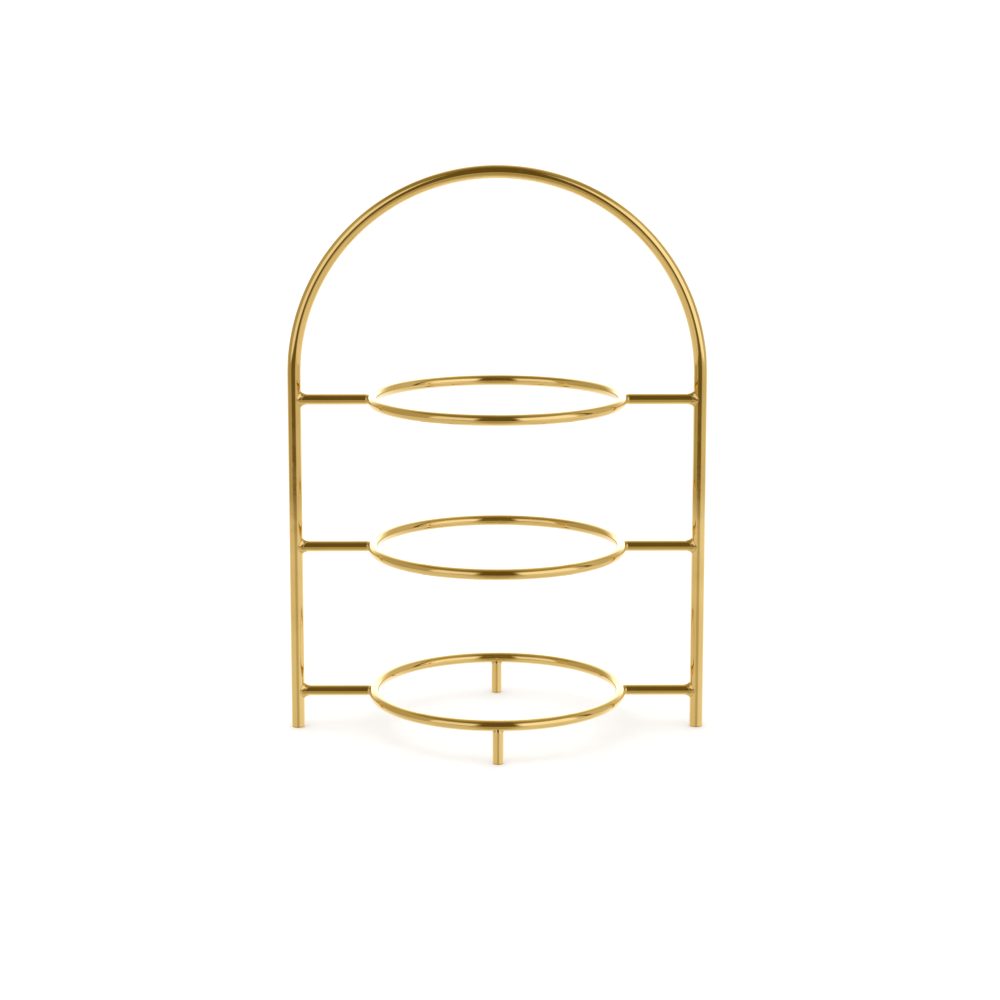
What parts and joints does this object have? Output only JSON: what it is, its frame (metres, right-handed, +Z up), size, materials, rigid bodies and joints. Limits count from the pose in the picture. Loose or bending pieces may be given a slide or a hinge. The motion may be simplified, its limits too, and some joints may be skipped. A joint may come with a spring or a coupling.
{
  "type": "tiered plate stand",
  "caption": "Tiered plate stand: an arched tube with a rounded carrying top holds level wire rings, one above another, on short welded struts.",
  "frame": {"origin": "on the floor, midway between the legs and under the centre of the rings", "axes": "+Z up, X from leg to leg with +X at the right-hand leg, +Y from the front foot to the rear foot"},
  "size_m": [0.31, 0.193, 0.4229],
  "materials": {
    "polished_gold": "polished",
    "plated_weld": "polished",
    "plug_plastic": "satin"
  },
  "bodies": {
    "root": {"arch_tube": "polished_gold", "bottom_ring": "polished_gold", "middle_ring": "polished_gold", "top_ring": "polished_gold", "bottom_left_strut": "polished_gold", "bottom_right_strut": "polished_gold", "middle_left_strut": "polished_gold", "middle_right_strut": "polished_gold", "top_left_strut": "polished_gold", "top_right_strut": "polished_gold", "front_foot": "polished_gold", "rear_foot": "polished_gold", "left_leg_plug": "plug_plastic", "right_leg_plug": "plug_plastic", "bottom_left_leg_weld": "plated_weld", "bottom_right_leg_weld": "plated_weld", "middle_left_leg_weld": "plated_weld", "middle_right_leg_weld": "plated_weld", "top_left_leg_weld": "plated_weld", "top_right_leg_weld": "plated_weld", "bottom_left_ring_weld": "plated_weld", "bottom_right_ring_weld": "plated_weld", "middle_left_ring_weld": "plated_weld", "middle_right_ring_weld": "plated_weld", "top_left_ring_weld": "plated_weld", "top_right_ring_weld": "plated_weld", "front_foot_weld": "plated_weld", "rear_foot_weld": "plated_weld"}
  },
  "joints": []
}
